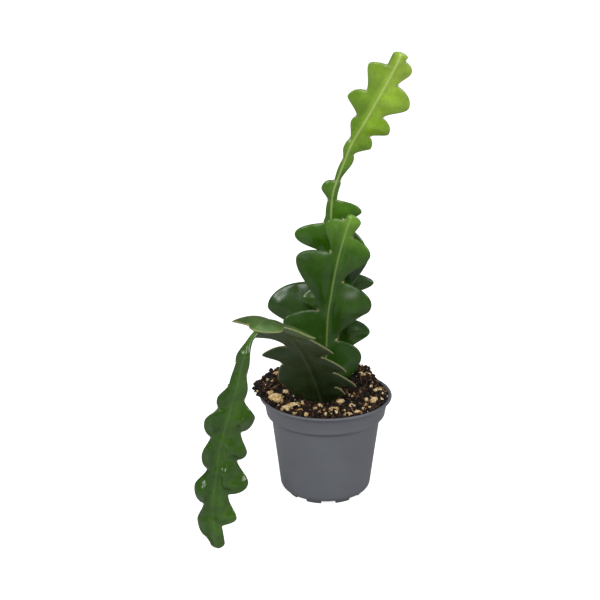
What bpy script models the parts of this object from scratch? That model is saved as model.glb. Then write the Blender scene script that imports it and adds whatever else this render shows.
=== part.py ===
# Potted fishbone cactus: a grey nursery pot full of peat and pumice, with four flat zigzag stems.
# Metres, +Z up. The origin is on the pot's axis, on the flat underside that it stands on; -Y is the front.

import math
import random

import bmesh
import bpy
from mathutils import Matrix, Vector, noise
from mathutils.geometry import delaunay_2d_cdt

MM = 0.001

# Driving sizes of the pot, in millimetres.
POT_HEIGHT = 71.0
LIP_RADIUS = 45.0
LIP_ROUND = 1.0
BAND_TOP_RADIUS = 42.0
BAND_FOOT_RADIUS = 40.5
BAND_FOOT_HEIGHT = 58.4
BAND_ROUND = 1.6
STEP_RADIUS = 37.0
STEP_HEIGHT = 55.2
BODY_FOOT_RADIUS = 30.9
CORNER_RADIUS = 6.0
FEET_HEIGHT = 2.2
FEET_RADIUS = 26.1
WALL = 1.2
FLOOR = 3.0
CHANNELS = 8
CHANNEL_WIDTH = 9.8
CHANNEL_TURN = math.radians(4.2)
DRAIN_RADIUS = 3.0
DRAIN_CIRCLE = 18.5
POT_SIDES = 60

# The soil: its gaps to the pot's floor and wall, its level round the stems, and its relief.
SOIL_SIDES = 60
SOIL_GAP = 0.35
WALL_GAP = 0.5
SOIL_LEVEL = 70.3
LOWEST_TOP = 70.0
FRONT_DIP = 0.7
HEAP_HEIGHT = 6.0
EDGE_DROP = 1.6
SPILL = 4.6
SPILL_LEFT = 7.0
CRUMB_SIZE = 4.5
CRUMB_RELIEF = 1.3
STEM_ZONE = 10.0
TOP_RINGS = (1.0, 0.92, 0.82, 0.71, 0.58, 0.42, 0.25, 0.1)
STEM_GAP = 0.7
HOLE_CUT = 30.0

# Stones in the soil as (x, y, length, width), most of them where they show in front.
STONES = [
    (-33.5, -13.5, 10, 8.5), (-37.5, -9.5, 4.5, 4), (-26.5, -26, 7, 5), (-21.5, -20.5, 7, 5),
    (-27.5, -4.5, 4.5, 4), (-36.8, -16.8, 2.6, 2.4), (-4.5, -21.8, 4, 3.4), (-7, -27, 4.5, 3.5), (-5, -33, 4, 3),
    (5, -28.5, 6.5, 5), (9.8, -15.4, 5.8, 5.4), (17.5, -21.5, 5, 4), (14.3, -35, 5, 3.5), (21, -31.5, 5, 3.5),
    (25, -26.5, 4, 3), (32.5, -13, 5.5, 6), (35.5, 7, 6, 4), (37.5, 0, 4, 3.4), (30, 27.5, 5, 4),
    (24.5, 25, 3.6, 3), (-16, -18, 3, 2.6), (-17.5, -28.5, 3.6, 3), (-21, -33.5, 3.6, 3), (27, -10, 3.4, 3),
    (26.5, -18.5, 3.2, 2.8), (-33, 20, 6, 4.5), (-15, 35, 5, 4), (12, 36, 6.5, 4.5), (-24, 28, 4, 3.5),
]
STONE_CORNERS = 15
STONE_FLATNESS = 0.75
STONE_SINK = 0.08

# A stem's cross-section: thin wings with round edges on each side of a raised midrib.
WING = 2.6
WING_EDGE = 2.2
RIB = 1.4
RIB_SPREAD = 2.8
ROOT_LENGTH = 34.0
STUB_LENGTH = 13.0

# Steps of a stem's mesh along its outline and over its face.
OUTLINE_STEP = 3.4
FACE_STEP = 7.0
FACE_ROWS = (0.0, 3.2)


def clear_scene():
    for old in list(bpy.data.objects):
        bpy.data.objects.remove(old, do_unlink=True)


def surface(name, colour, roughness):
    """A plain Principled material; colour is linear red, green and blue."""
    material = bpy.data.materials.new(name)
    material.use_nodes = True
    shader = material.node_tree.nodes["Principled BSDF"]
    shader.inputs["Base Color"].default_value = (*colour, 1.0)
    shader.inputs["Roughness"].default_value = roughness
    shader.inputs["Metallic"].default_value = 0.0
    return material


def object_from(name, vertices, faces, material):
    """One object from points in millimetres, with its faces turned outward."""
    mesh = bpy.data.meshes.new(name)
    mesh.from_pydata([Vector(v) * MM for v in vertices], [], faces)
    shape = bmesh.new()
    shape.from_mesh(mesh)
    bmesh.ops.recalc_face_normals(shape, faces=shape.faces)
    shape.to_mesh(mesh)
    shape.free()
    mesh.shade_smooth()
    mesh.set_sharp_from_angle(angle=math.radians(40))
    mesh.materials.append(material)
    thing = bpy.data.objects.new(name, mesh)
    bpy.context.collection.objects.link(thing)
    return thing


def boolean(target, others, operation):
    """Apply one exact Boolean with all the others to target, and remove them."""
    group = bpy.data.collections.new(f"{target.name}_{operation.lower()}")
    bpy.context.scene.collection.children.link(group)
    for other in others:
        group.objects.link(other)
    step = target.modifiers.new(operation.title(), "BOOLEAN")
    step.operation = operation
    step.solver = "EXACT"
    step.operand_type = "COLLECTION"
    step.collection = group
    bpy.context.view_layer.update()
    result = target.evaluated_get(bpy.context.evaluated_depsgraph_get())
    mesh = bpy.data.meshes.new_from_object(result)
    target.modifiers.clear()
    target.data = mesh
    for other in others:
        bpy.data.objects.remove(other, do_unlink=True)
    bpy.data.collections.remove(group)


def mix(a, b, share):
    return a + (b - a) * share


def smooth_step(low, high, value):
    share = min(max((value - low) / (high - low), 0.0), 1.0)
    return share * share * (3.0 - 2.0 * share)


def ring_point(radius, angle, height):
    return (radius * math.cos(angle), radius * math.sin(angle), height)


# The pot.

def arc(centre, radius, start, end, steps):
    """Points on an arc in a profile, with the angles in degrees."""
    angles = [math.radians(mix(start, end, i / steps)) for i in range(steps + 1)]
    return [(centre[0] + radius * math.cos(a), centre[1] + radius * math.sin(a)) for a in angles]


def closed_rings(rings, bottom, top):
    """Vertices and faces of a body made of equal rings between two end points on the axis."""
    sides = len(rings[0])
    vertices = [bottom] + [point for ring in rings for point in ring] + [top]
    last = len(vertices) - 1
    faces = []
    for k in range(sides):
        after = (k + 1) % sides
        faces.append((0, 1 + after, 1 + k))
        for row in range(len(rings) - 1):
            low, high = 1 + row * sides, 1 + (row + 1) * sides
            faces.append((low + k, low + after, high + after, high + k))
        end = 1 + (len(rings) - 1) * sides
        faces.append((end + k, end + after, last))
    return vertices, faces


def wall_radius(height):
    """The pot's outer radius between its rounded base and its step."""
    corner_top = FEET_HEIGHT + CORNER_RADIUS
    return mix(BODY_FOOT_RADIUS, STEP_RADIUS, (height - corner_top) / (STEP_HEIGHT - corner_top))


def make_pot(material):
    """A turned shell on a ring of low feet, which channels under the base part from each other."""
    corner_centre = (BODY_FOOT_RADIUS - CORNER_RADIUS, FEET_HEIGHT + CORNER_RADIUS)
    flare_height = POT_HEIGHT - 2.4
    outside = [(FEET_RADIUS - 1.4, 0.0), (FEET_RADIUS - 0.3, 0.4), (FEET_RADIUS, 1.2)]
    outside += arc(corner_centre, CORNER_RADIUS, -75, -6, 6)
    outside += [(wall_radius(30.0), 30.0), (STEP_RADIUS - 0.1, STEP_HEIGHT - 1.2)]
    outside += [(STEP_RADIUS + 0.3, STEP_HEIGHT)]
    outside += arc((BAND_FOOT_RADIUS - BAND_ROUND, BAND_FOOT_HEIGHT), BAND_ROUND, -62, 4, 4)
    outside += [(BAND_TOP_RADIUS, POT_HEIGHT - 4.4), (BAND_TOP_RADIUS + 0.9, POT_HEIGHT - 2.6)]
    lip = arc((LIP_RADIUS - LIP_ROUND, POT_HEIGHT - LIP_ROUND), LIP_ROUND, -40, 150, 6)
    inside = [(BAND_TOP_RADIUS - WALL, flare_height), (BAND_FOOT_RADIUS - WALL, BAND_FOOT_HEIGHT)]
    inside += [(STEP_RADIUS - WALL, STEP_HEIGHT), (wall_radius(30.0) - WALL, 30.0)]
    inside += arc(corner_centre, CORNER_RADIUS - WALL, -8, -44, 4)
    profile = outside + lip + inside + [(BODY_FOOT_RADIUS - CORNER_RADIUS - 2.0, FLOOR)]
    turns = [2 * math.pi * k / POT_SIDES for k in range(POT_SIDES)]
    rings = [[ring_point(radius, turn, height) for turn in turns] for radius, height in profile]
    pot = object_from("pot", *closed_rings(rings, (0, 0, 0), (0, 0, FLOOR)), material)

    # Eight radial channels between the feet, each with a drain hole.
    cutters = []
    reach = 40.0
    start = DRAIN_CIRCLE - DRAIN_RADIUS - 1.0
    for k in range(CHANNELS):
        angle = -math.pi / 2 + CHANNEL_TURN + 2 * math.pi * k / CHANNELS
        turn = Matrix.Rotation(angle, 4, "Z")
        bpy.ops.mesh.primitive_cube_add(size=1.0)
        channel = bpy.context.object
        size = Matrix.Diagonal((reach * MM, CHANNEL_WIDTH * MM, 2 * FEET_HEIGHT * MM, 1.0))
        channel.data.transform(turn @ Matrix.Translation(((start + reach / 2) * MM, 0, 0)) @ size)
        bpy.ops.mesh.primitive_cylinder_add(vertices=12, radius=DRAIN_RADIUS * MM, depth=4 * FLOOR * MM)
        drain = bpy.context.object
        drain.data.transform(turn @ Matrix.Translation((DRAIN_CIRCLE * MM, 0, 0)))
        cutters += [channel, drain]
    boolean(pot, cutters, "DIFFERENCE")
    return pot


# The stems. A stem is a flat sheet along a curved midrib, in millimetres. Its midrib is a list of
# (x, y, z); across says which way the broad face's right side points at each of those places, or all
# along; root is the half width and the extra rib height at its root; each side's lobes run from the
# root up as (tip along, tip out, notch along, notch out), measured along and away from the midrib, and
# the last notch is the stem's tip; droop bends the left and the right wing off the flat, in
# millimetres at 25 mm out; round is 1 for round lobe tips and less for pointed ones.

STEMS = {
    "front_stem": {
        "midrib": [(-1, -4.5, 58), (0, -5.5, 90.4), (1.2, -7, 127.1), (3, -7, 142.1), (7, -6.5, 165.9),
                   (12.5, -6, 187.7), (17, -7, 201.2)],
        "across": [(1, -0.12, 0)],
        "root": (4.6, 0.9),
        "right": [(42.5, 23.5, 55, 6), (83, 27.5, 97, 6), (119, 20, 129, 5), (140, 7.5, 144.5, 0)],
        "left": [(28, 23, 40.5, 7), (65.5, 30, 75, 7),
                 (107, 27.5, 116, 6), (133, 14.5, 139, 4), (142.5, 3, 144.5, 0)],
        "droop": (-1.0, 1.5),
        "round": 1.0,
    },
    "tall_stem": {
        "midrib": [(6, 11, 58), (8, 12.5, 94.5), (9, 13.5, 112.1), (10.3, 14.5, 129.7),
                   (10.3, 15, 149.9), (7, 14.5, 169.1), (3.7, 14, 186.3), (3.7, 13, 202.6),
                   (5, 12.5, 211.8), (7, 12, 218), (8.7, 11.5, 223.2), (12, 10, 232.7),
                   (17, 7.5, 246.3), (25, 4, 261.2), (34.7, 0, 280.5), (41.5, -3, 294.4), (47.4, -6, 308)],
        "across": [(1, -0.12, 0)],
        "root": (4.6, 0.9),
        "right": [(30.5, 15, 38.5, 6), (54, 21, 63, 7), (74, 19, 84, 7), (104, 20.5, 127.5, 6),
                  (139.5, 20, 148, 3.2), (158, 3.2, 162, 2), (178, 5.5, 182.5, 4),
                  (192, 13, 200, 8), (207.5, 18, 216, 9), (229, 21, 240, 7),
                  (251, 11.5, 257, 4.5), (260, 5, 262, 0)],
        "left": [(49.5, 20, 59, 6), (74, 27, 86, 6), (99, 19, 107, 7), (125.5, 26, 131.5, 5.5),
                 (136.5, 4, 147, 2.8), (154, 8.5, 161, 2), (168.5, 2.4, 177, 1.6),
                 (185.5, 4, 192.5, 2.5), (204.5, 8, 209, 6.5), (218.5, 18, 228, 9),
                 (245, 16, 250, 5), (258.5, 5, 262, 0)],
        "droop": (1.0, 2.0),
        "round": 1.0,
    },
    "back_stem": {
        "midrib": [(-2, 24, 58), (-2.5, 28, 107.6), (-2.5, 30, 128.9), (-0.5, 33, 146.1),
                   (2, 36, 164.4)],
        "across": [(1, -0.05, 0)],
        "root": (4.6, 0.9),
        "right": [(55.5, 17, 66.5, 7), (86.5, 34, 93, 6), (102.5, 6, 107, 0)],
        "left": [(33, 16, 42, 7), (64, 37.5, 82, 6), (102.5, 6, 107, 0)],
        "droop": (2.0, 2.0),
        "round": 0.85,
    },
    "arching_stem": {
        "midrib": [(-2, -14.5, 58), (-3, -16, 74), (-8, -29, 97), (-15.5, -47, 121), (-24, -66, 139),
                   (-32, -83, 151), (-39, -98, 157.8), (-46, -112, 158)],
        "across": [(1, -0.2, -0.1), (1, -0.2, -0.1), (0.93, -0.35, -0.1), (0.87, -0.48, -0.1),
                   (0.87, -0.48, -0.1), (0.87, -0.48, -0.1), (0.9, -0.42, -0.1), (0.9, -0.42, -0.1)],
        "root": (7.0, 0.9),
        "right": [(22, 17.5, 30, 12), (35, 28, 51, 16), (57, 27, 71, 13), (84, 25.5, 101, 13),
                  (122, 27, 134, 10), (146, 14, 156, 0)],
        "left": [(15, 11.5, 20, 18), (38, 25, 53, 19.5), (68, 28.5, 75, 12), (95, 28, 104, 20), (141, 23, 150, 8),
                 (152, 6, 156, 0)],
        "droop": (-6.0, 0.0),
        "round": 0.6,
    },
}

# The branch that grew from the arching stem's end and hangs free.
BRANCH = {
    "midrib": [(-42.5, -105, 158.3), (-46, -112, 158), (-49.5, -116, 150), (-52.5, -116.5, 140),
               (-55.9, -115, 124), (-58.8, -114, 113.5), (-61.5, -113, 103), (-64, -112, 94),
               (-67.5, -111, 79), (-69.5, -110, 64), (-71.5, -109, 50), (-72.4, -108, 39), (-72, -107, 28),
               (-70.8, -106, 17), (-69.8, -105, 8)],
    "across": [(1, -0.1, 0)],
    "root": (1.8, 0.0),
    "right": [(31, 4.5, 35, 4), (48, 7, 53, 6.5), (64, 16, 75, 10), (89.5, 17, 96.5, 11.5),
              (111, 20.5, 121.5, 9), (141, 14.5, 147.5, 4.3), (160, 4.5, 164, 0)],
    "left": [(26, 5, 29, 4.2), (43, 5.4, 46, 5.6), (57, 10, 62, 8), (75, 13.8, 84.5, 7.5), (97, 11, 106, 6.5),
             (119, 13, 130.5, 6.3), (142, 11, 154, 7), (160, 5, 164, 0)],
    "droop": (1.0, 1.0),
    "round": 1.0,
}


def smooth_path(points, per_span=12):
    """A smooth curve's points, the length up to each, and the lengths up to the given points."""
    given = [Vector(point) for point in points]
    ends = [2 * given[0] - given[1]] + given + [2 * given[-1] - given[-2]]
    path = []
    for i in range(len(given) - 1):
        a, b, c, d = ends[i:i + 4]
        for k in range(per_span):
            t = k / per_span
            bend = 2 * a - 5 * b + 4 * c - d
            swing = 3 * b - a - 3 * c + d
            path.append(0.5 * (2 * b + (c - a) * t + bend * t ** 2 + swing * t ** 3))
    path.append(given[-1])
    lengths = [0.0]
    for before, after in zip(path, path[1:]):
        lengths.append(lengths[-1] + (after - before).length)
    return path, lengths, lengths[::per_span]


def between(keys, values, place):
    """The value at a place between rising keys, by straight lines."""
    place = min(max(place, keys[0]), keys[-1])
    i = 0
    while i < len(keys) - 2 and place > keys[i + 1]:
        i += 1
    return mix(values[i], values[i + 1], (place - keys[i]) / (keys[i + 1] - keys[i]))


class Sheet:
    """A stem's curved sheet: where a place along and out from the midrib lies in space."""

    def __init__(self, form):
        self.path, self.lengths, self.keys = smooth_path(form["midrib"])
        across = [Vector(direction) for direction in form["across"]]
        self.across = across if len(across) > 1 else across * len(form["midrib"])
        self.droop = form["droop"]
        self.length = self.lengths[-1]

    def point(self, along, out, lift):
        place = min(max(along, 0.0), self.length)
        middle = between(self.lengths, self.path, place)
        before = between(self.lengths, self.path, max(place - 2.0, 0.0))
        after = between(self.lengths, self.path, min(place + 2.0, self.length))
        run = (after - before).normalized()
        side = between(self.keys, self.across, place)
        side = (side - run * side.dot(run)).normalized()
        face = run.cross(side)
        bend = self.droop[0] if out < 0 else self.droop[1]
        return middle + run * (along - place) + side * out + face * (lift + bend * (out / 25.0) ** 2)


def cubic(a, b, c, d, step):
    """Points on a cubic curve after its first, about a step apart."""
    a, b, c, d = (Vector(point) for point in (a, b, c, d))
    count = max(2, round(((b - a).length + (c - b).length + (d - c).length) / step))
    points = []
    for i in range(1, count + 1):
        t = i / count
        u = 1.0 - t
        points.append(a * u ** 3 + b * 3 * u * u * t + c * 3 * u * t * t + d * t ** 3)
    return points


def side_outline(form, side, step):
    """One side's outline from the root to the tip, with every lobe's long slope and short end."""
    half_width, tip_round = form["root"][0], form["round"]
    points = [Vector((0.0, half_width)), Vector((STUB_LENGTH, half_width))]
    for tip_along, tip_out, notch_along, notch_out in form[side]:
        start, start_out = points[-1]
        rise, width = tip_along - start, tip_out - start_out
        slope = [(start, start_out), (start + 0.38 * rise, start_out + 0.12 * width)]
        slope += [(tip_along - 0.30 * tip_round * rise, tip_out), (tip_along, tip_out)]
        points += cubic(*slope, step)
        fall, drop = notch_along - tip_along, tip_out - notch_out
        end = [(tip_along, tip_out), (tip_along + 0.55 * tip_round * fall, tip_out)]
        end += [(notch_along - 0.05 * fall, notch_out + 0.5 * drop), (notch_along, notch_out)]
        points += cubic(*end, step)
    return points


def stem_outline(form, step):
    right = side_outline(form, "right", step)
    left = [Vector((along, -out)) for along, out in side_outline(form, "left", step)]
    return right + left[-2::-1]


def edge_distance(point, outline):
    """How far a place on the sheet is from its outline."""
    best = 1e9
    for i, start in enumerate(outline):
        run = outline[i - 1] - start
        share = min(max((point - start).dot(run) / max(run.length_squared, 1e-12), 0.0), 1.0)
        best = min(best, (point - start - run * share).length)
    return best


def inside(point, outline):
    crossings = 0
    for i, a in enumerate(outline):
        b = outline[i - 1]
        if (a.y > point.y) != (b.y > point.y):
            if point.x < a.x + (point.y - a.y) / (b.y - a.y) * (b.x - a.x):
                crossings += 1
    return crossings % 2 == 1


def face_points(outline, length):
    """Places inside the outline: one row just inside the edge, then rows along the midrib and the wings."""
    places = []
    count = len(outline)
    for i in range(count):
        run = (outline[(i + 1) % count] - outline[i - 1]).normalized()
        for turn in (Vector((-run.y, run.x)), Vector((run.y, -run.x))):
            place = outline[i] + turn * WING_EDGE * 0.6
            if inside(place, outline) and edge_distance(place, outline) > WING_EDGE * 0.55:
                places.append(place)
    rows = list(FACE_ROWS)
    while rows[-1] < 40.0:
        rows.append(rows[-1] + FACE_STEP * 0.87)
    clear = WING_EDGE * 0.6 + FACE_STEP * 0.4
    for n, row in enumerate(rows):
        step = FACE_STEP if n else FACE_STEP * 0.8
        for k in range(int(length / step) + 1):
            for sign in ((1, -1) if n else (1,)):
                place = Vector(((k + 0.5 * (n % 2)) * step, sign * row))
                near = WING_EDGE * 1.2 if n < len(FACE_ROWS) else clear
                if inside(place, outline) and edge_distance(place, outline) > near:
                    places.append(place)
    return places


def half_thickness(form, along, out, distance):
    """Half the stem's thickness: a wing with a round edge, and the midrib that is thicker at the root."""
    round_edge = min(distance / WING_EDGE, 1.0)
    round_edge = math.sqrt(max(1.0 - (1.0 - round_edge) ** 2, 0.0))
    root_share = max(1.0 - along / ROOT_LENGTH, 0.0)
    rib = (RIB + form["root"][1] * root_share) * math.exp(-(out / RIB_SPREAD) ** 2)
    return (WING / 2 + rib) * round_edge


def make_stem(name, form, material):
    sheet = Sheet(form)
    outline = stem_outline(form, OUTLINE_STEP)
    places = outline + face_points(outline, sheet.length)
    border = list(range(len(outline)))
    flat, _, triangles, came_from, _, _ = delaunay_2d_cdt(places, [], [border], 1, 1e-4)
    on_rim = [any(source < len(outline) for source in sources) for sources in came_from]
    vertices = []
    front = {}
    back = {}
    for i, place in enumerate(flat):
        if on_rim[i]:
            front[i] = back[i] = len(vertices)
            vertices.append(sheet.point(place.x, place.y, 0.0))
            continue
        lift = half_thickness(form, place.x, place.y, edge_distance(place, outline))
        front[i] = len(vertices)
        vertices.append(sheet.point(place.x, place.y, lift))
        back[i] = len(vertices)
        vertices.append(sheet.point(place.x, place.y, -lift))
    faces = []
    for a, b, c in triangles:
        faces.append((front[a], front[b], front[c]))
        faces.append((back[c], back[b], back[a]))
    return object_from(name, vertices, faces, material)


# The soil.

def heap_share(angle):
    """Where the soil is heaped over the lip: round the back and the left side."""
    degrees = math.degrees(angle) % 360.0
    return smooth_step(28.0, 52.0, degrees) * (1.0 - smooth_step(185.0, 212.0, degrees))


def spill(angle):
    """How far the heaped soil reaches past the band's inside, most at the left."""
    degrees = math.degrees(angle)
    most = smooth_step(150.0, 180.0, degrees) * (1.0 - smooth_step(194.0, 212.0, degrees))
    return mix(SPILL, SPILL_LEFT, most) * smooth_step(0.5, 1.0, heap_share(angle))


def soil_height(x, y):
    """The height of the crumbly top: level round the stems, a little lower at the front, heaped behind."""
    radius, angle = math.hypot(x, y), math.atan2(y, x)
    heap = HEAP_HEIGHT * heap_share(angle) * smooth_step(17.0, 38.0, radius)
    dip = FRONT_DIP * smooth_step(24.0, 40.0, radius) * (1.0 - heap_share(angle))
    open_soil = smooth_step(STEM_ZONE, STEM_ZONE + 16.0, radius)
    crumbs = noise.noise(Vector((x, y, 2.0)) / CRUMB_SIZE) * CRUMB_RELIEF * mix(0.25, 1.0, open_soil)
    return SOIL_LEVEL + heap - dip + crumbs


def soil_rings():
    """Rings up the inside of the pot, out over the lip where the soil is heaped, and in over the top."""
    turns = [2 * math.pi * k / SOIL_SIDES for k in range(SOIL_SIDES)]
    corner_top = FEET_HEIGHT + CORNER_RADIUS + 1.0
    front_edge = BAND_TOP_RADIUS - WALL
    walls = [(BODY_FOOT_RADIUS - CORNER_RADIUS - 1.5, FLOOR + SOIL_GAP)]
    walls += [(BODY_FOOT_RADIUS - 0.5 * CORNER_RADIUS, FEET_HEIGHT + 0.6 * CORNER_RADIUS)]
    walls += [(wall_radius(corner_top) - WALL, corner_top), (STEP_RADIUS - WALL, STEP_HEIGHT)]
    walls += [(BAND_FOOT_RADIUS - WALL, BAND_FOOT_HEIGHT), (front_edge, POT_HEIGHT - 3.0)]
    rings = []
    for radius, height in walls:
        rings.append([ring_point(radius - WALL_GAP, turn, height) for turn in turns])
    over_lip = POT_HEIGHT + WALL_GAP
    lip_rings = [(0.15, front_edge - 0.2, 68.7, over_lip), (0.8, front_edge + 0.8, 69.8, over_lip + 0.2)]
    for share, front, low, high in lip_rings:
        ring = []
        for turn in turns:
            heap = heap_share(turn)
            radius = mix(front, BAND_TOP_RADIUS, min(2 * heap, 1.0)) + share * spill(turn)
            ring.append(ring_point(radius, turn, mix(low, high, smooth_step(0.0, 0.5, heap))))
        rings.append(ring)
    edge = [math.hypot(x, y) + 0.3 for x, y, _ in rings[-1]]
    for share in TOP_RINGS:
        ring = []
        for turn, reach in zip(turns, edge):
            x, y, _ = ring_point(reach * share, turn, 0.0)
            height = soil_height(x, y)
            if share == 1.0:
                height -= EDGE_DROP * heap_share(turn)
            ring.append((x, y, max(height, LOWEST_TOP)))
        rings.append(ring)
    return rings


def stem_hole(form):
    """A plain oval hole in line with a stem's root."""
    foot = Vector(form["midrib"][0])
    run = Vector(form["midrib"][1]) - foot
    side = form["across"][0]
    half_width, extra_rib = form["root"]
    bpy.ops.mesh.primitive_cylinder_add(vertices=20, radius=1.0, depth=1.0)
    hole = bpy.context.object
    half_depth = WING / 2 + RIB + extra_rib
    size = Matrix.Diagonal(((half_width + STEM_GAP) * MM, (half_depth + STEM_GAP) * MM, HOLE_CUT * MM, 1.0))
    spin = Matrix.Rotation(math.atan2(side[1], side[0]), 4, "Z")
    lean = Vector((0, 0, 1)).rotation_difference(run).to_matrix().to_4x4()
    low = Matrix.Translation((foot - Vector((0, 0, STEM_GAP))) * MM)
    hole.data.transform(low @ lean @ spin @ size @ Matrix.Translation((0, 0, 0.5)))
    return hole


def make_stone(index, place, material):
    """A rough lump, sunk by half in the soil."""
    x, y, length, width = place
    draw = random.Random(index)
    centre = Vector((x, y, soil_height(x, y) - STONE_SINK * width))
    turn = Matrix.Rotation(draw.uniform(-0.4, 0.4), 3, "Z")
    size = Matrix.Diagonal((length / 2, width / 2, STONE_FLATNESS * width / 2))
    stone = bmesh.new()
    for _ in range(STONE_CORNERS):
        direction = Vector((draw.gauss(0, 1), draw.gauss(0, 1), draw.gauss(0, 1))).normalized()
        stone.verts.new(centre + turn @ size @ direction * draw.uniform(0.88, 1.08))
    bmesh.ops.convex_hull(stone, input=stone.verts)
    bmesh.ops.delete(stone, geom=[vert for vert in stone.verts if not vert.link_faces], context="VERTS")
    stone.verts.index_update()
    vertices = [vert.co.copy() for vert in stone.verts]
    faces = [[vert.index for vert in face.verts] for face in stone.faces]
    stone.free()
    return object_from(f"stone_{index}", vertices, faces, material)


def make_soil(material):
    """The root ball with its crumbly top, the stems' holes, and the stones grown into one body with it."""
    centre_top = (0, 0, soil_height(0, 0))
    vertices, faces = closed_rings(soil_rings(), (0, 0, FLOOR + SOIL_GAP), centre_top)
    soil = object_from("soil", vertices, faces, material)
    boolean(soil, [stem_hole(form) for form in STEMS.values()], "DIFFERENCE")
    boolean(soil, [make_stone(i, place, material) for i, place in enumerate(STONES)], "UNION")
    return soil


def main():
    clear_scene()
    plastic = surface("grey_polypropylene", (0.105, 0.115, 0.135), 0.5)
    green = surface("green_skin", (0.07, 0.16, 0.03), 0.4)
    peat = surface("peat", (0.02, 0.012, 0.008), 0.9)
    make_pot(plastic)
    make_soil(peat)
    for name, form in STEMS.items():
        make_stem(name, form, green)
    branch = make_stem("hanging_branch", BRANCH, green)
    boolean(bpy.data.objects["arching_stem"], [branch], "UNION")


main()
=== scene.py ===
# A young fishbone cactus in its grey nursery pot, dressed for a still picture.
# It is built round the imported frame: metres, +Z up, the origin under the pot, and -Y towards the camera.

import math
import random

import bmesh
import bpy
import numpy as np
from mathutils import Matrix, Vector, noise
from mathutils.geometry import delaunay_2d_cdt


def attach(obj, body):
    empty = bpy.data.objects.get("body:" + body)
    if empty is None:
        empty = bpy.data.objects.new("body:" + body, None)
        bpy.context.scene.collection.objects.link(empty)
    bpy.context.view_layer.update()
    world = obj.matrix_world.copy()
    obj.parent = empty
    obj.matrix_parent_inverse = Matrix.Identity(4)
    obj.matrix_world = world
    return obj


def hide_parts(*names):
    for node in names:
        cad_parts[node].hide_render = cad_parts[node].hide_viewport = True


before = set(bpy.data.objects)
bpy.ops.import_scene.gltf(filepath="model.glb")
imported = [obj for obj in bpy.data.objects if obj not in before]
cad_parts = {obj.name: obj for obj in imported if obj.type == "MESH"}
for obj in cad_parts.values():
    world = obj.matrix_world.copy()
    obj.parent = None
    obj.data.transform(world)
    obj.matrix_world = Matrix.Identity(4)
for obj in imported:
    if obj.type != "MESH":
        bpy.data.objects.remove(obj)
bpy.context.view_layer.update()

MM = 0.001


# The camera.
# It stands 1.3 m off with a long lens, looking down by twenty degrees.

CAMERA_PLACE = (-0.01756, -1.2027, 0.56913)
CAMERA_TILT = math.radians(70.3)

camera_data = bpy.data.cameras.new("camera")
camera_data.lens = 114.42
camera_data.sensor_width = 36.0
camera = bpy.data.objects.new("camera", camera_data)
camera.location = CAMERA_PLACE
camera.rotation_euler = (CAMERA_TILT, 0.0, 0.0)
bpy.context.collection.objects.link(camera)
bpy.context.scene.camera = camera
bpy.context.scene.view_settings.view_transform = "Standard"


# The studio.
# A white table that runs on to the back, soft boxes above, in front and at both sides, and pale walls.
# The table glows a little for the camera alone, so that it stays as white as the walls behind it.

FLOOR_WHITE = "#C8C8C8"
FLOOR_GLOW = 0.9
WALL_WHITE = "#FFFFFF"
WALL_LIGHT = 0.22
SOFT_BOXES = {
    "left_box": {"place": (-1.15, -0.75, 0.85), "size": (0.4, 0.5), "watts": 8.0},
    "front_box": {"place": (-0.15, -1.35, 1.1), "size": (0.9, 0.5), "watts": 13.0},
    "top_box": {"place": (0.1, 0.15, 1.2), "size": (0.6, 0.4), "watts": 4.0},
    "right_box": {"place": (1.15, -0.75, 0.85), "size": (0.4, 0.5), "watts": 7.0},
}
AIM = Vector((0.0, -0.03, 0.15))


def linear(code):
    """A colour code in sRGB hex as linear red, green, blue and alpha."""
    parts = [int(code[i:i + 2], 16) / 255 for i in (1, 3, 5)]
    return tuple(p / 12.92 if p <= 0.04045 else ((p + 0.055) / 1.055) ** 2.4 for p in parts) + (1.0,)


def add(tree, kind, values=(), links=(), stops=(), **settings):
    """Add a node with its settings, the values and links of its sockets, and a ramp's stops."""
    made = tree.nodes.new("ShaderNode" + kind)
    for key, value in settings.items():
        setattr(made, key, value)
    for socket, value in dict(values).items():
        made.inputs[socket].default_value = value
    for socket, output in dict(links).items():
        tree.links.new(output, made.inputs[socket])
    for i, (place, colour) in enumerate(stops):
        ramp = made.color_ramp.elements
        stop = ramp[i] if i < len(ramp) else ramp.new(place)
        stop.position = place
        stop.color = colour
    return made


def new_material(name):
    """A material with its node tree and its Principled shader."""
    material = bpy.data.materials.new(name)
    material.use_nodes = True
    return material, material.node_tree, material.node_tree.nodes["Principled BSDF"]


def new_piece(name, vertices, faces, material, smooth=True):
    """A mesh object from places in millimetres."""
    mesh = bpy.data.meshes.new(name)
    mesh.from_pydata((np.asarray(vertices, dtype=float) * MM).tolist(), [], faces)
    if smooth:
        mesh.shade_smooth()
    mesh.materials.append(material)
    piece = bpy.data.objects.new(name, mesh)
    bpy.context.collection.objects.link(piece)
    return piece


table_white, tree, shader = new_material("white_laminate_table")
grain = add(tree, "TexNoise", {"Scale": 3.0, "Detail": 2.0})
tone = add(tree, "ValToRGB", links={"Fac": grain.outputs["Fac"]},
           stops=((0.3, linear("#C2C2C2")), (0.7, linear(FLOOR_WHITE))))
tree.links.new(tone.outputs["Color"], shader.inputs["Base Color"])
shader.inputs["Roughness"].default_value = 0.6
shader.inputs["Emission Color"].default_value = linear(WALL_WHITE)
path = add(tree, "LightPath")
glow = add(tree, "Math", {1: FLOOR_GLOW}, {0: path.outputs["Is Camera Ray"]}, operation="MULTIPLY")
tree.links.new(glow.outputs[0], shader.inputs["Emission Strength"])
floor_half = 6000.0
floor_corners = [(-floor_half, -floor_half, 0), (floor_half, -floor_half, 0)]
floor_corners += [(floor_half, floor_half, 0), (-floor_half, floor_half, 0)]
floor = new_piece("table", floor_corners, [(0, 1, 2, 3)], table_white)

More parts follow.
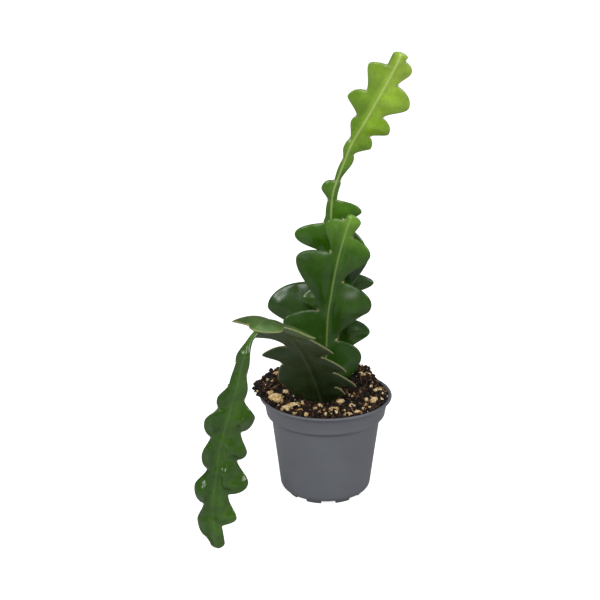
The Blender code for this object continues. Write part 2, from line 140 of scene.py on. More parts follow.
for name, box in SOFT_BOXES.items():
    light_data = bpy.data.lights.new(name, "AREA")
    light_data.shape = "RECTANGLE"
    light_data.size, light_data.size_y = box["size"]
    light_data.energy = box["watts"]
    light = bpy.data.objects.new(name, light_data)
    light.location = box["place"]
    light.rotation_euler = (AIM - Vector(box["place"])).to_track_quat("-Z", "Y").to_euler()
    bpy.context.collection.objects.link(light)

world = bpy.data.worlds.new("pale_walls")
world.use_nodes = True
bpy.context.scene.world = world
tree = world.node_tree
wall = tree.nodes["Background"]
wall.inputs["Color"].default_value = linear(WALL_WHITE)
wall.inputs["Strength"].default_value = WALL_LIGHT
seen = add(tree, "Background", {"Color": linear(WALL_WHITE), "Strength": 1.0})
path = add(tree, "LightPath")
both = add(tree, "MixShader", links={0: path.outputs["Is Camera Ray"], 1: wall.outputs[0], 2: seen.outputs[0]})
tree.links.new(both.outputs[0], tree.nodes["World Output"].inputs["Surface"])


# The pot.
# A 9 cm nursery pot, injection moulded in grey polypropylene. It stands on a ring of low feet, and the
# channels between them lead away the water of eight drain holes.

POT_HEIGHT = 71.0
LIP_RADIUS = 45.0
LIP_ROUND = 1.0
BAND_TOP_RADIUS = 42.0
BAND_FOOT_RADIUS = 40.5
BAND_FOOT_HEIGHT = 58.4
BAND_ROUND = 1.6
STEP_RADIUS = 37.0
STEP_HEIGHT = 55.2
BODY_FOOT_RADIUS = 30.9
CORNER_RADIUS = 6.0
FEET_HEIGHT = 2.2
FEET_RADIUS = 26.1
WALL = 1.2
FLOOR = 3.0
CHANNELS = 8
CHANNEL_WIDTH = 9.8
CHANNEL_TURN = math.radians(4.2)
DRAIN_RADIUS = 3.0
DRAIN_CIRCLE = 18.5
POT_SIDES = 180
POT_GREY = "#5A5D64"
POT_GREY_LIGHT = "#61646A"
POT_GRAIN_MM = 0.35
POT_CLOUD_MM = 25.0


def mix(a, b, share):
    return a + (b - a) * share


def arc(centre, radius, start, end, steps):
    """Points on an arc in a profile, with the angles in degrees."""
    angles = [math.radians(mix(start, end, i / steps)) for i in range(steps + 1)]
    return [(centre[0] + radius * math.cos(a), centre[1] + radius * math.sin(a)) for a in angles]


def closed_rings(rings, bottom, top):
    """Vertices and faces of a body made of equal rings between two end points on the axis."""
    sides = len(rings[0])
    vertices = [bottom] + [point for ring in rings for point in ring] + [top]
    last = len(vertices) - 1
    faces = []
    for k in range(sides):
        after = (k + 1) % sides
        faces.append((0, 1 + after, 1 + k))
        for row in range(len(rings) - 1):
            low, high = 1 + row * sides, 1 + (row + 1) * sides
            faces.append((low + k, low + after, high + after, high + k))
        end = 1 + (len(rings) - 1) * sides
        faces.append((end + k, end + after, last))
    return vertices, faces


def wall_radius(height):
    """The pot's outer radius between its rounded base and its step."""
    corner_top = FEET_HEIGHT + CORNER_RADIUS
    return mix(BODY_FOOT_RADIUS, STEP_RADIUS, (height - corner_top) / (STEP_HEIGHT - corner_top))


def pot_profile():
    """The wall's section from the feet up the outside, over the lip and down the inside."""
    corner_centre = (BODY_FOOT_RADIUS - CORNER_RADIUS, FEET_HEIGHT + CORNER_RADIUS)
    outside = [(FEET_RADIUS - 1.4, 0.0), (FEET_RADIUS - 0.3, 0.4), (FEET_RADIUS, 1.2)]
    outside += arc(corner_centre, CORNER_RADIUS, -75, -6, 14)
    outside += [(wall_radius(30.0), 30.0), (STEP_RADIUS - 0.1, STEP_HEIGHT - 1.2)]
    outside += [(STEP_RADIUS + 0.3, STEP_HEIGHT)]
    outside += arc((BAND_FOOT_RADIUS - BAND_ROUND, BAND_FOOT_HEIGHT), BAND_ROUND, -62, 4, 8)
    outside += [(BAND_TOP_RADIUS, POT_HEIGHT - 4.4), (BAND_TOP_RADIUS + 0.9, POT_HEIGHT - 2.6)]
    lip = arc((LIP_RADIUS - LIP_ROUND, POT_HEIGHT - LIP_ROUND), LIP_ROUND, -40, 150, 14)
    inside = [(BAND_TOP_RADIUS - WALL, POT_HEIGHT - 2.4), (BAND_FOOT_RADIUS - WALL, BAND_FOOT_HEIGHT)]
    inside += [(STEP_RADIUS - WALL, STEP_HEIGHT), (wall_radius(30.0) - WALL, 30.0)]
    inside += arc(corner_centre, CORNER_RADIUS - WALL, -8, -44, 8)
    return outside + lip + inside + [(BODY_FOOT_RADIUS - CORNER_RADIUS - 2.0, FLOOR)]


def drain_cutters():
    """Bars for the channels under the base, and pins for the drain holes."""
    reach = 40.0
    start = DRAIN_CIRCLE - DRAIN_RADIUS - 1.0
    shape = bmesh.new()
    for k in range(CHANNELS):
        turn = Matrix.Rotation(-math.pi / 2 + CHANNEL_TURN + 2 * math.pi * k / CHANNELS, 4, "Z")
        size = Matrix.Diagonal((reach * MM, CHANNEL_WIDTH * MM, 2 * FEET_HEIGHT * MM, 1.0))
        middle = Matrix.Translation(((start + reach / 2) * MM, 0, 0))
        bmesh.ops.create_cube(shape, size=1.0, matrix=turn @ middle @ size)
        bmesh.ops.create_cone(shape, cap_ends=True, segments=32, radius1=DRAIN_RADIUS * MM,
                              radius2=DRAIN_RADIUS * MM, depth=4 * FLOOR * MM,
                              matrix=turn @ Matrix.Translation((DRAIN_CIRCLE * MM, 0, 0)))
    mesh = bpy.data.meshes.new("drain_cutters")
    shape.to_mesh(mesh)
    shape.free()
    return bpy.data.objects.new("drain_cutters", mesh)


# Moulded polypropylene: a satin grey, cloudy by a shade, with the fine grain of the mould's sparked steel.
plastic, tree, shader = new_material("moulded_grey_polypropylene")
place = add(tree, "TexCoord")
cloud = add(tree, "TexNoise", {"Scale": 1000 / POT_CLOUD_MM, "Detail": 3.0},
            {"Vector": place.outputs["Object"]})
shade = add(tree, "ValToRGB", links={"Fac": cloud.outputs["Fac"]},
            stops=((0.3, linear(POT_GREY)), (0.7, linear(POT_GREY_LIGHT))))
tree.links.new(shade.outputs["Color"], shader.inputs["Base Color"])
satin = add(tree, "MapRange", {"To Min": 0.38, "To Max": 0.5}, {"Value": cloud.outputs["Fac"]})
tree.links.new(satin.outputs["Result"], shader.inputs["Roughness"])
shader.inputs["IOR"].default_value = 1.49
grain = add(tree, "TexNoise", {"Scale": 1000 / POT_GRAIN_MM, "Detail": 2.0},
            {"Vector": place.outputs["Object"]})
relief = add(tree, "Bump", {"Strength": 0.25, "Distance": 0.05 * MM}, {"Height": grain.outputs["Fac"]})
tree.links.new(relief.outputs["Normal"], shader.inputs["Normal"])

turns = [2 * math.pi * k / POT_SIDES for k in range(POT_SIDES)]
rings = []
for radius, height in pot_profile():
    rings.append([(radius * math.cos(t), radius * math.sin(t), height) for t in turns])
pot = new_piece("moulded_pot", *closed_rings(rings, (0, 0, 0), (0, 0, FLOOR)), plastic)
cutters = drain_cutters()
bpy.context.collection.objects.link(cutters)
cut = pot.modifiers.new("drains", "BOOLEAN")
cut.operation = "DIFFERENCE"
cut.solver = "EXACT"
cut.use_self = True
cut.object = cutters
bpy.context.view_layer.update()
pot.data = bpy.data.meshes.new_from_object(pot.evaluated_get(bpy.context.evaluated_depsgraph_get()))
pot.modifiers.clear()
bpy.data.objects.remove(cutters, do_unlink=True)
pot.data.set_sharp_from_angle(angle=math.radians(35))
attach(pot, "root")
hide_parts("pot")


# The soil.
# Damp dark peat with fine bark, pressed in by hand and heaped over the lip at the back and the left.
# One closed root ball fills the pot; crumbs, bark, root fibres and pumice lie loose over its top.

BAND_TOP_INSIDE = 40.8
SOIL_LEVEL = 70.3
LOWEST_TOP = 70.0
FRONT_DIP = 0.7
HEAP_HEIGHT = 6.0
EDGE_DROP = 1.6
SPILL = 4.6
SPILL_LEFT = 7.0
SOIL_SIDES = 200
SOIL_RINGS = 62
SOIL_WALL = [(22.9, 3.4), (27.4, 5.8), (29.3, 9.2), (35.3, 55.2), (38.8, 58.4), (40.3, 68.0)]
LIP_RINGS = [(0.15, 68.7, 71.5), (0.8, 69.8, 71.7)]
RELIEF = ((7.0, 1.5), (2.6, 1.3), (1.0, 0.7))
PEAT_BROWNS = ("#080604", "#120C08", "#21150D", "#3A2517", "#5C4029")
BARK_BROWNS = ("#2A170D", "#4A2B18", "#6E4A2C", "#8A6743")


def smooth_step(low, high, value):
    share = np.clip((value - low) / (high - low), 0.0, 1.0)
    return share * share * (3.0 - 2.0 * share)


def heap_share(angle):
    """Where the soil is heaped over the lip: round the back and the left side."""
    degrees = np.degrees(angle) % 360.0
    return smooth_step(28.0, 52.0, degrees) * (1.0 - smooth_step(185.0, 212.0, degrees))


def soil_reach(angle):
    """How far the soil's edge is from the axis."""
    degrees = np.degrees(angle) % 360.0
    left = smooth_step(150.0, 180.0, degrees) * (1.0 - smooth_step(194.0, 212.0, degrees))
    heap = heap_share(angle)
    spill = mix(SPILL, SPILL_LEFT, left) * smooth_step(0.5, 1.0, heap)
    return mix(BAND_TOP_INSIDE + 0.8, 42.0, np.minimum(2 * heap, 1.0)) + 0.8 * spill


def soil_height(x, y):
    """The height of the soil's top without its crumbs."""
    radius, angle = math.hypot(x, y), math.atan2(y, x)
    heap = float(heap_share(angle))
    rise = HEAP_HEIGHT * heap * float(smooth_step(17.0, 38.0, radius))
    dip = FRONT_DIP * float(smooth_step(24.0, 40.0, radius)) * (1.0 - heap)
    drop = EDGE_DROP * heap * float(smooth_step(0.86, 1.0, radius / float(soil_reach(angle))))
    return max(SOIL_LEVEL + rise - dip - drop, LOWEST_TOP)


def root_ball():
    """Rings up the inside of the pot, out over the lip where the soil is heaped, and in over the top."""
    turns = [2 * math.pi * k / SOIL_SIDES for k in range(SOIL_SIDES)]
    rings = []
    for radius, height in SOIL_WALL:
        rings.append([(radius * math.cos(t), radius * math.sin(t), height) for t in turns])
    for share, low, high in LIP_RINGS:
        ring = []
        for turn in turns:
            heap = float(heap_share(turn))
            inner = mix(BAND_TOP_INSIDE - 0.2, 42.0, min(2 * heap, 1.0))
            radius = mix(inner, float(soil_reach(turn)), share)
            height = mix(low, high, float(smooth_step(0.0, 0.5, heap)))
            ring.append((radius * math.cos(turn), radius * math.sin(turn), height))
        rings.append(ring)
    for row in range(SOIL_RINGS):
        share = 1.0 - row / SOIL_RINGS
        ring = []
        for turn in turns:
            reach = (float(soil_reach(turn)) + 0.3) * share
            x, y = reach * math.cos(turn), reach * math.sin(turn)
            bumps = sum(depth * noise.noise(Vector((x, y, size)) / size) for size, depth in RELIEF)
            calm = mix(1.0, 0.35, float(smooth_step(0.86, 1.0, share)))
            ring.append((x, y, soil_height(x, y) + bumps * calm))
        rings.append(ring)
    return closed_rings(rings, (0, 0, SOIL_WALL[0][1]), (0, 0, SOIL_LEVEL))


def ball(detail):
    """Vertices and triangles of a round ball of radius 1."""
    golden = (1 + 5 ** 0.5) / 2
    corners = [(-1, golden, 0), (1, golden, 0), (-1, -golden, 0), (1, -golden, 0)]
    corners += [(0, -1, golden), (0, 1, golden), (0, -1, -golden), (0, 1, -golden)]
    corners += [(golden, 0, -1), (golden, 0, 1), (-golden, 0, -1), (-golden, 0, 1)]
    corners = [Vector(c).normalized() for c in corners]
    faces = [(0, 11, 5), (0, 5, 1), (0, 1, 7), (0, 7, 10), (0, 10, 11), (1, 5, 9), (5, 11, 4), (11, 10, 2)]
    faces += [(10, 7, 6), (7, 1, 8), (3, 9, 4), (3, 4, 2), (3, 2, 6), (3, 6, 8), (3, 8, 9), (4, 9, 5)]
    faces += [(2, 4, 11), (6, 2, 10), (8, 6, 7), (9, 8, 1)]
    for _ in range(detail):
        halves = {}

        def half(a, b):
            key = (min(a, b), max(a, b))
            if key not in halves:
                halves[key] = len(corners)
                corners.append((corners[a] + corners[b]).normalized())
            return halves[key]

        finer = []
        for a, b, c in faces:
            ab, bc, ca = half(a, b), half(b, c), half(c, a)
            finer += [(a, ab, ca), (b, bc, ab), (c, ca, bc), (ab, bc, ca)]
        faces = finer
    return np.array(corners), np.array(faces)


def dress(piece, tones):
    """Give a piece its own tones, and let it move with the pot."""
    attribute = piece.data.attributes.new("tone", "FLOAT", "POINT")
    attribute.data.foreach_set("value", np.concatenate(tones).astype(np.float32))
    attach(piece, "root")
    return piece


def lumps(name, places, detail, rough, material, smooth=False):
    """One mesh of many lumps; each is (centre, half sizes, turn, tone)."""
    corners, triangles = ball(detail)
    vertices, faces, tones = [], [], []
    for index, (centre, half_sizes, turn, tone) in enumerate(places):
        shift = Vector((index * 7.13, index * 3.71, index * 1.37))
        shape = []
        for corner in corners:
            push = noise.noise(Vector(corner) * 1.3 + shift)
            push += 0.5 * noise.noise(Vector(corner) * 3.1 + shift)
            shape.append(corner * (1 + rough * push))
        shape = np.array(shape) * np.array(half_sizes) @ np.array(turn).T + np.array(centre)
        faces.append(triangles + len(corners) * len(vertices))
        vertices.append(shape)
        tones.append(np.full(len(corners), tone))
    faces = np.concatenate(faces).tolist()
    return dress(new_piece(name, np.concatenate(vertices), faces, material, smooth), tones)


def strands(name, curves, material):
    """One mesh of many thin round strands that taper; each is (points, radius, tone)."""
    vertices, faces, tones = [], [], []
    count = 0
    for points, radius, tone in curves:
        points = np.array(points, dtype=float)
        run = np.gradient(points, axis=0)
        side = np.cross(run, (0.31, 0.17, 0.93))
        side /= np.linalg.norm(side, axis=1, keepdims=True)
        rise = np.cross(run, side)
        rise /= np.linalg.norm(rise, axis=1, keepdims=True)
        taper = radius * np.linspace(1.0, 0.35, len(points))[:, None]
        ring = [points + taper * (side * math.cos(a) + rise * math.sin(a)) for a in (0.0, 2.1, 4.2)]
        vertices.append(np.stack(ring, axis=1).reshape(-1, 3))
        for k in range(len(points) - 1):
            low = count + 3 * k
            faces += [(low + i, low + (i + 1) % 3, low + 3 + (i + 1) % 3, low + 3 + i) for i in range(3)]
        last = count + 3 * (len(points) - 1)
        faces += [(count + 2, count + 1, count), (last, last + 1, last + 2)]
        count += 3 * len(points)
        tones.append(np.full(3 * len(points), tone))
    return dress(new_piece(name, np.concatenate(vertices), faces, material), tones)


def any_turn(draw):
    axis = Vector((draw.gauss(0, 1), draw.gauss(0, 1), draw.gauss(0, 1))).normalized()
    return Matrix.Rotation(draw.uniform(0, 2 * math.pi), 3, axis)


def soil_place(draw, turns=(-180.0, 180.0), past=0.4, inner=0.0):
    """A place on the soil's top between two bearings in degrees, evenly spread."""
    turn = math.radians(draw.uniform(*turns))
    share = math.sqrt(draw.uniform(inner ** 2, 1.0))
    radius = share * (float(soil_reach(turn)) + past)
    x, y = radius * math.cos(turn), radius * math.sin(turn)
    return x, y, soil_height(x, y)


def earth_material(name, shades, grain_mm, roughness, depth_mm):
    """Rough matter in many tones: a lump's own tone and fine specks choose its shade, and pits roughen it."""
    material, tree, shader = new_material(name)
    place = add(tree, "TexCoord")
    own = add(tree, "Attribute", attribute_name="tone")
    speck = add(tree, "TexNoise", {"Scale": 1000 / grain_mm, "Detail": 4.0},
                {"Vector": place.outputs["Object"]})
    spread = add(tree, "MapRange", {"From Min": 0.3, "From Max": 0.7, "To Min": -0.28, "To Max": 0.28},
                 {"Value": speck.outputs["Fac"]})
    both = add(tree, "Math", {}, {0: own.outputs["Fac"], 1: spread.outputs["Result"]}, operation="ADD")
    stops = [(i / (len(shades) - 1), linear(code)) for i, code in enumerate(shades)]
    tone = add(tree, "ValToRGB", links={"Fac": both.outputs[0]}, stops=stops)
    tree.links.new(tone.outputs["Color"], shader.inputs["Base Color"])
    shader.inputs["Roughness"].default_value = roughness
    shader.inputs["IOR"].default_value = 1.4
    relief = add(tree, "Bump", {"Strength": 0.8, "Distance": depth_mm * MM}, {"Height": speck.outputs["Fac"]})
    tree.links.new(relief.outputs["Normal"], shader.inputs["Normal"])
    return material


# Damp peat is nearly black in its gaps and reddish brown where a crumb has dried.
peat = earth_material("damp_peat", PEAT_BROWNS, 1.5, 0.85, 0.4)
bark = earth_material("composted_pine_bark", BARK_BROWNS, 1.2, 0.8, 0.3)

soil = new_piece("peat_root_ball", *root_ball(), peat)
dress(soil, [np.full(len(soil.data.vertices), 0.12)])
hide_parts("soil")

CRUMBS = {
    "coarse_peat_crumbs": {"count": 1100, "sizes": (1.1, 2.6), "turns": (-180, 180), "past": 0.4, "detail": 1},
    "fine_peat_crumbs": {"count": 4200, "sizes": (0.5, 1.1), "turns": (-180, 180), "past": 0.4, "detail": 0},
    "spilled_peat_crumbs": {"count": 420, "sizes": (0.9, 2.4), "turns": (32, 212), "past": 1.6, "detail": 1},
}
draw = random.Random(11)
for name, kind in CRUMBS.items():
    places = []
    inner = 0.9 if name == "spilled_peat_crumbs" else 0.0
    for i in range(kind["count"]):
        x, y, z = soil_place(draw, kind["turns"], kind["past"], inner)
        size = mix(*kind["sizes"], draw.random() ** 2)
        half_sizes = [size * draw.uniform(0.3, 0.75) for _ in range(3)]
        lift = size * draw.uniform(-0.2, 1.1 if inner else 0.8)
        places.append(((x, y, z + lift), half_sizes, any_turn(draw), 0.08 + 0.85 * draw.random() ** 2.6))
    lumps(name, places, kind["detail"], 0.6, peat)

# Flakes of bark, two to six millimetres long, lie at all angles.
places = []
for i in range(420):
    x, y, z = soil_place(draw)
    half_sizes = (draw.uniform(0.9, 2.9), draw.uniform(0.4, 0.95), draw.uniform(0.15, 0.35))
    turn = Matrix.Rotation(draw.uniform(0, 2 * math.pi), 3, "Z") @ Matrix.Rotation(draw.gauss(0, 0.5), 3, "Y")
    places.append(((x, y, z + draw.uniform(0.3, 1.5)), half_sizes, turn, draw.random() ** 1.5))
lumps("bark_flakes", places, 1, 0.5, bark)

# Dry root fibres curl out of the peat, most of them where it is heaped; a few pale ones stand up.
FIBRE_POINTS = 8
curves = []
for i in range(330):
    turns, past, inner = ((-180, 180), 0.4, 0.0) if i % 2 else ((40, 212), 1.0, 0.8)
    x, y, z = soil_place(draw, turns, past, inner)
    heading = draw.uniform(0, 2 * math.pi)
    climb = draw.uniform(0.1, 0.9) if i % 2 else draw.uniform(0.3, 1.3)
    step = draw.uniform(0.4, 1.3)
    points = [np.array((x, y, z - 0.3))]
    for k in range(1, FIBRE_POINTS):
        heading += draw.gauss(0, 0.4)
        rise = climb * math.cos(math.pi * k / FIBRE_POINTS)
        points.append(points[-1] + step * np.array((math.cos(heading), math.sin(heading), rise)))
    curves.append((points, draw.uniform(0.09, 0.17), draw.random() ** 0.8))
PALE_FIBRES = ((23.9, 18.4, 9.0, 1.5), (24.8, 17.2, 7.5, -1.0), (27.5, 15.0, 5.0, 2.0), (12.0, -36.0, 4.0, 1.0))
for x, y, reach, lean in PALE_FIBRES:
    base = soil_height(x, y)
    shares = np.linspace(0, 1, FIBRE_POINTS)
    points = [(x + lean * t ** 2, y - 0.8 * t, base + reach * t) for t in shares]
    curves.append((points, 0.22, 1.25))
strands("root_fibres", curves, bark)

# Pumice: light buff volcanic stone, tumbled to rough lumps full of pits that hold dust of the peat. Its darkest
# tones fall in the pits and are partly that dust, partly painted shade.
PUMICE_TONES_AND_PIT_SHADE = ("#2C1C0C", "#7E5A30", "#C2A06A", "#E6D2A6")
STONES = [
    (-33.5, -13.5, 10, 8.5), (-37.5, -9.5, 4.5, 4), (-26.5, -26, 7, 5), (-21.5, -20.5, 7, 5),
    (-27.5, -4.5, 4.5, 4), (-36.8, -16.8, 2.6, 2.4), (-4.5, -21.8, 4, 3.4), (-7, -27, 4.5, 3.5), (-5, -33, 4, 3),
    (5, -28.5, 6.5, 5), (9.8, -15.4, 5.8, 5.4), (17.5, -21.5, 5, 4), (14.3, -35, 5, 3.5), (21, -31.5, 5, 3.5),
    (25, -26.5, 4, 3), (32.5, -13, 5.5, 6), (35.5, 7, 6, 4), (37.5, 0, 4, 3.4), (30, 27.5, 5, 4),
    (24.5, 25, 3.6, 3), (-16, -18, 3, 2.6), (-17.5, -28.5, 3.6, 3), (-21, -33.5, 3.6, 3), (27, -10, 3.4, 3),
    (26.5, -18.5, 3.2, 2.8), (-33, 20, 6, 4.5), (-15, 35, 5, 4), (12, 36, 6.5, 4.5), (-24, 28, 4, 3.5),
]
pumice = earth_material("tumbled_pumice", PUMICE_TONES_AND_PIT_SHADE, 1.8, 0.9, 0.6)
places = []
for x, y, length, width in STONES:
    half_sizes = (length / 2, width / 2, 0.42 * width)
    turn = Matrix.Rotation(draw.uniform(-0.4, 0.4), 3, "Z")
    places.append(((x, y, soil_height(x, y) + 0.12 * width), half_sizes, turn, draw.uniform(0.62, 0.9)))
    side = draw.uniform(0, 2 * math.pi)
    knob = (x + 0.36 * length * math.cos(side), y + 0.36 * width * math.sin(side))
    half_sizes = [width * draw.uniform(0.2, 0.36) for _ in range(3)]
    places.append(((*knob, soil_height(*knob) + 0.16 * width), half_sizes, any_turn(draw), draw.uniform(0.6, 0.9)))
stones = lumps("pumice_stones", places, 3, 0.34, pumice, smooth=True)
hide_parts("soil")
places = []
for i in range(150):
    x, y, z = soil_place(draw)
    size = mix(0.4, 1.5, draw.random() ** 2.2)
    half_sizes = [size * draw.uniform(0.6, 1.0) for _ in range(3)]
    places.append(((x, y, z + 0.7 * size + 0.4), half_sizes, any_turn(draw), draw.uniform(0.45, 1.0)))
lumps("pumice_grit", places, 1, 0.5, pumice)


# The stems.
# Flat, leafless stems of a fishbone cactus: waxy skin over firm water tissue, 4 mm thick and plumper in
# the lobes, which alternate left and right of a raised midrib. New growth is light, old growth dark green.

WING = 3.6
RIB = 1.3
RIB_SPREAD = 1.9
ROOT_LENGTH = 34.0
STUB_LENGTH = 13.0
OUTLINE_STEP = 0.9
FACE_STEP = 1.6
RIM_ROWS = (0.25, 0.7, 1.4, 2.4)
WAVE = 1.6
WAVE_LENGTH = 19.0
PILLOW_EDGE = 5.5

STEMS = {
    "front_stem": {
        "midrib": [(-1, -4.5, 58), (0, -5.5, 90.4), (1.2, -7, 127.1), (3, -7, 142.1), (7, -6.5, 165.9),
                   (12.5, -6, 187.7), (17, -7, 201.2)],
        "across": [(1, -0.12, 0)],
        "root": (4.6, 0.9),
        "right": [(42.5, 23.5, 55, 6), (83, 27.5, 97, 6), (119, 20, 129, 5), (140, 7.5, 144.5, 0)],
        "left": [(28, 23, 40.5, 7), (65.5, 30, 75, 7),
                 (107, 27.5, 116, 6), (133, 14.5, 139, 4), (142.5, 3, 144.5, 0)],
        "droop": (-1.0, 1.5),
        "round": 1.0,
        "slot": "stems",
        "pillow": 1.9,
        "rim": 7.0,
    },
    "tall_stem": {
        "midrib": [(6, 11, 58), (8, 12.5, 94.5), (9, 13.5, 112.1), (10.3, 14.5, 129.7),
                   (10.3, 15, 149.9), (7, 14.5, 169.1), (3.7, 14, 186.3), (3.7, 13, 202.6),
                   (5, 12.5, 211.8), (7, 12, 218), (8.7, 11.5, 223.2), (12, 10, 232.7),
                   (17, 7.5, 246.3), (25, 4, 261.2), (34.7, 0, 280.5), (41.5, -3, 294.4), (47.4, -6, 308)],
        "across": [(1, -0.12, 0)],
        "root": (4.6, 0.9),
        "right": [(30.5, 15, 38.5, 6), (54, 21, 63, 7), (74, 19, 84, 7), (104, 20.5, 127.5, 6),
                  (139.5, 20, 148, 3.2), (158, 3.2, 162, 2), (178, 5.5, 182.5, 4),
                  (192, 13, 200, 8), (207.5, 18, 216, 9), (229, 21, 240, 7),
                  (251, 11.5, 257, 4.5), (260, 5, 262, 0)],
        "left": [(49.5, 20, 59, 6), (74, 27, 86, 6), (99, 19, 107, 7), (125.5, 26, 131.5, 5.5),
                 (136.5, 4, 147, 2.8), (154, 8.5, 161, 2), (168.5, 2.4, 177, 1.6),
                 (185.5, 4, 192.5, 2.5), (204.5, 8, 209, 6.5), (218.5, 18, 228, 9),
                 (245, 16, 250, 5), (258.5, 5, 262, 0)],
        "droop": (1.0, 2.0),
        "round": 1.0,
        "slot": "tall_stem",
        "pillow": 1.9,
        "rim": 7.0,
    },
    "back_stem": {
        "midrib": [(-2, 24, 58), (-2.5, 28, 107.6), (-2.5, 30, 128.9), (-0.5, 33, 146.1),
                   (2, 36, 164.4)],
        "across": [(1, -0.05, 0)],
        "root": (4.6, 0.9),
        "right": [(55.5, 17, 66.5, 7), (86.5, 34, 93, 6), (102.5, 6, 107, 0)],
        "left": [(33, 16, 42, 7), (64, 37.5, 82, 6), (102.5, 6, 107, 0)],
        "droop": (2.0, 2.0),
        "round": 0.85,
        "slot": "stems",
        "pillow": 1.7,
        "rim": 7.0,
    },
    "arching_stem": {
        "midrib": [(-2, -14.5, 58), (-3, -16, 74), (-8, -29, 97), (-15.5, -47, 121), (-24, -66, 139),
                   (-32, -83, 151), (-39, -98, 157.8), (-46, -112, 158)],
        "across": [(1, -0.2, -0.1), (1, -0.2, -0.1), (0.93, -0.35, -0.1), (0.87, -0.48, -0.1),
                   (0.87, -0.48, -0.1), (0.87, -0.48, -0.1), (0.9, -0.42, -0.1), (0.9, -0.42, -0.1)],
        "root": (7.0, 0.9),
        "right": [(22, 17.5, 30, 12), (35, 28, 51, 16), (57, 27, 71, 13), (84, 25.5, 101, 13),
                  (122, 27, 134, 10), (146, 14, 156, 0)],
        "left": [(15, 11.5, 20, 18), (38, 25, 53, 19.5), (68, 28.5, 75, 12), (95, 28, 104, 20),
                 (141, 23, 150, 8), (152, 6, 156, 0)],
        "droop": (-6.0, 0.0),
        "round": 0.6,
        "slot": "stems",
        "pillow": 0.9,
        "rim": 11.0,
    },
    "hanging_branch": {
        "midrib": [(-41.8, -103.6, 155.6), (-46, -112, 156), (-49.5, -116, 150), (-52.5, -116.5, 140),
                   (-55.9, -115, 124), (-58.8, -114, 113.5), (-61.5, -113, 103), (-64, -112, 94),
                   (-67.5, -111, 79), (-69.5, -110, 64), (-71.5, -109, 50), (-72.4, -108, 39), (-72, -107, 28),
                   (-70.8, -106, 17), (-69.8, -105, 8)],
        "across": [(1, -0.1, 0)],
        "root": (1.8, 0.0),
        "right": [(31, 4.5, 35, 4), (48, 7, 53, 6.5), (64, 16, 75, 10), (89.5, 17, 96.5, 11.5),
                  (111, 20.5, 121.5, 9), (141, 14.5, 147.5, 4.3), (160, 4.5, 164, 0)],
        "left": [(26, 5, 29, 4.2), (43, 5.4, 46, 5.6), (57, 10, 62, 8), (75, 13.8, 84.5, 7.5),
                 (97, 11, 106, 6.5), (119, 13, 130.5, 6.3), (142, 11, 154, 7), (160, 5, 164, 0)],
        "droop": (1.0, 1.0),
        "round": 1.0,
        "slot": "stems",
        "pillow": 4.2,
        "rim": 7.0,
    },
}


def smooth_path(points, per_span=12):
    """A smooth curve's points, the length up to each, and the lengths up to the given points."""
    given = np.array(points, dtype=float)
    ends = np.vstack([2 * given[0] - given[1], given, 2 * given[-1] - given[-2]])
    path = []
    for i in range(len(given) - 1):
        a, b, c, d = ends[i:i + 4]
        for k in range(per_span):
            t = k / per_span
            bend = 2 * a - 5 * b + 4 * c - d
            swing = 3 * b - a - 3 * c + d
            path.append(0.5 * (2 * b + (c - a) * t + bend * t ** 2 + swing * t ** 3))
    path = np.array(path + [given[-1]])
    lengths = np.concatenate([[0.0], np.cumsum(np.linalg.norm(np.diff(path, axis=0), axis=1))])
    return path, lengths, lengths[::per_span]


class Sheet:
    """A stem's curved sheet: where places along and out from the midrib lie in space."""

    def __init__(self, form):
        self.path, self.lengths, self.keys = smooth_path(form["midrib"])
        across = np.array(form["across"], dtype=float)
        self.across = across if len(across) > 1 else np.repeat(across, len(form["midrib"]), axis=0)
        self.droop = form["droop"]
        self.length = self.lengths[-1]

    def middle(self, place):
        return np.stack([np.interp(place, self.lengths, self.path[:, i]) for i in range(3)], axis=1)

    def points(self, along, out, lift):
        place = np.clip(along, 0.0, self.length)
        run = self.middle(np.minimum(place + 2.0, self.length)) - self.middle(np.maximum(place - 2.0, 0.0))
        run /= np.linalg.norm(run, axis=1, keepdims=True)
        side = np.stack([np.interp(place, self.keys, self.across[:, i]) for i in range(3)], axis=1)
        side -= run * np.sum(side * run, axis=1, keepdims=True)
        side /= np.linalg.norm(side, axis=1, keepdims=True)
        face = np.cross(run, side)
        bend = np.where(out < 0, self.droop[0], self.droop[1]) * (out / 25.0) ** 2
        past_end = run * (along - place)[:, None]
        return self.middle(place) + past_end + side * out[:, None] + face * (lift + bend)[:, None]


def cubic(a, b, c, d, step):
    """Points on a cubic curve after its first, about a step apart."""
    a, b, c, d = (np.array(point, dtype=float) for point in (a, b, c, d))
    reach = np.linalg.norm(b - a) + np.linalg.norm(c - b) + np.linalg.norm(d - c)
    count = max(2, round(reach / step))
    t = (np.arange(1, count + 1) / count)[:, None]
    u = 1.0 - t
    return a * u ** 3 + 3 * b * u * u * t + 3 * c * u * t * t + d * t ** 3


def side_outline(form, side, step):
    """One side's outline from the root to the tip, with every lobe's long slope and short end."""
    half_width, tip_round = form["root"][0], form["round"]
    points = [np.array([[0.0, half_width], [STUB_LENGTH / 2, half_width], [STUB_LENGTH, half_width]])]
    for tip_along, tip_out, notch_along, notch_out in form[side]:
        start, start_out = points[-1][-1]
        rise, width = tip_along - start, tip_out - start_out
        slope = [(start, start_out), (start + 0.38 * rise, start_out + 0.12 * width)]
        slope += [(tip_along - 0.30 * tip_round * rise, tip_out), (tip_along, tip_out)]
        points.append(cubic(*slope, step))
        fall, drop = notch_along - tip_along, tip_out - notch_out
        end = [(tip_along, tip_out), (tip_along + 0.55 * tip_round * fall, tip_out)]
        end += [(notch_along - 0.05 * fall, notch_out + 0.5 * drop), (notch_along, notch_out)]
        points.append(cubic(*end, step))
    return np.concatenate(points)


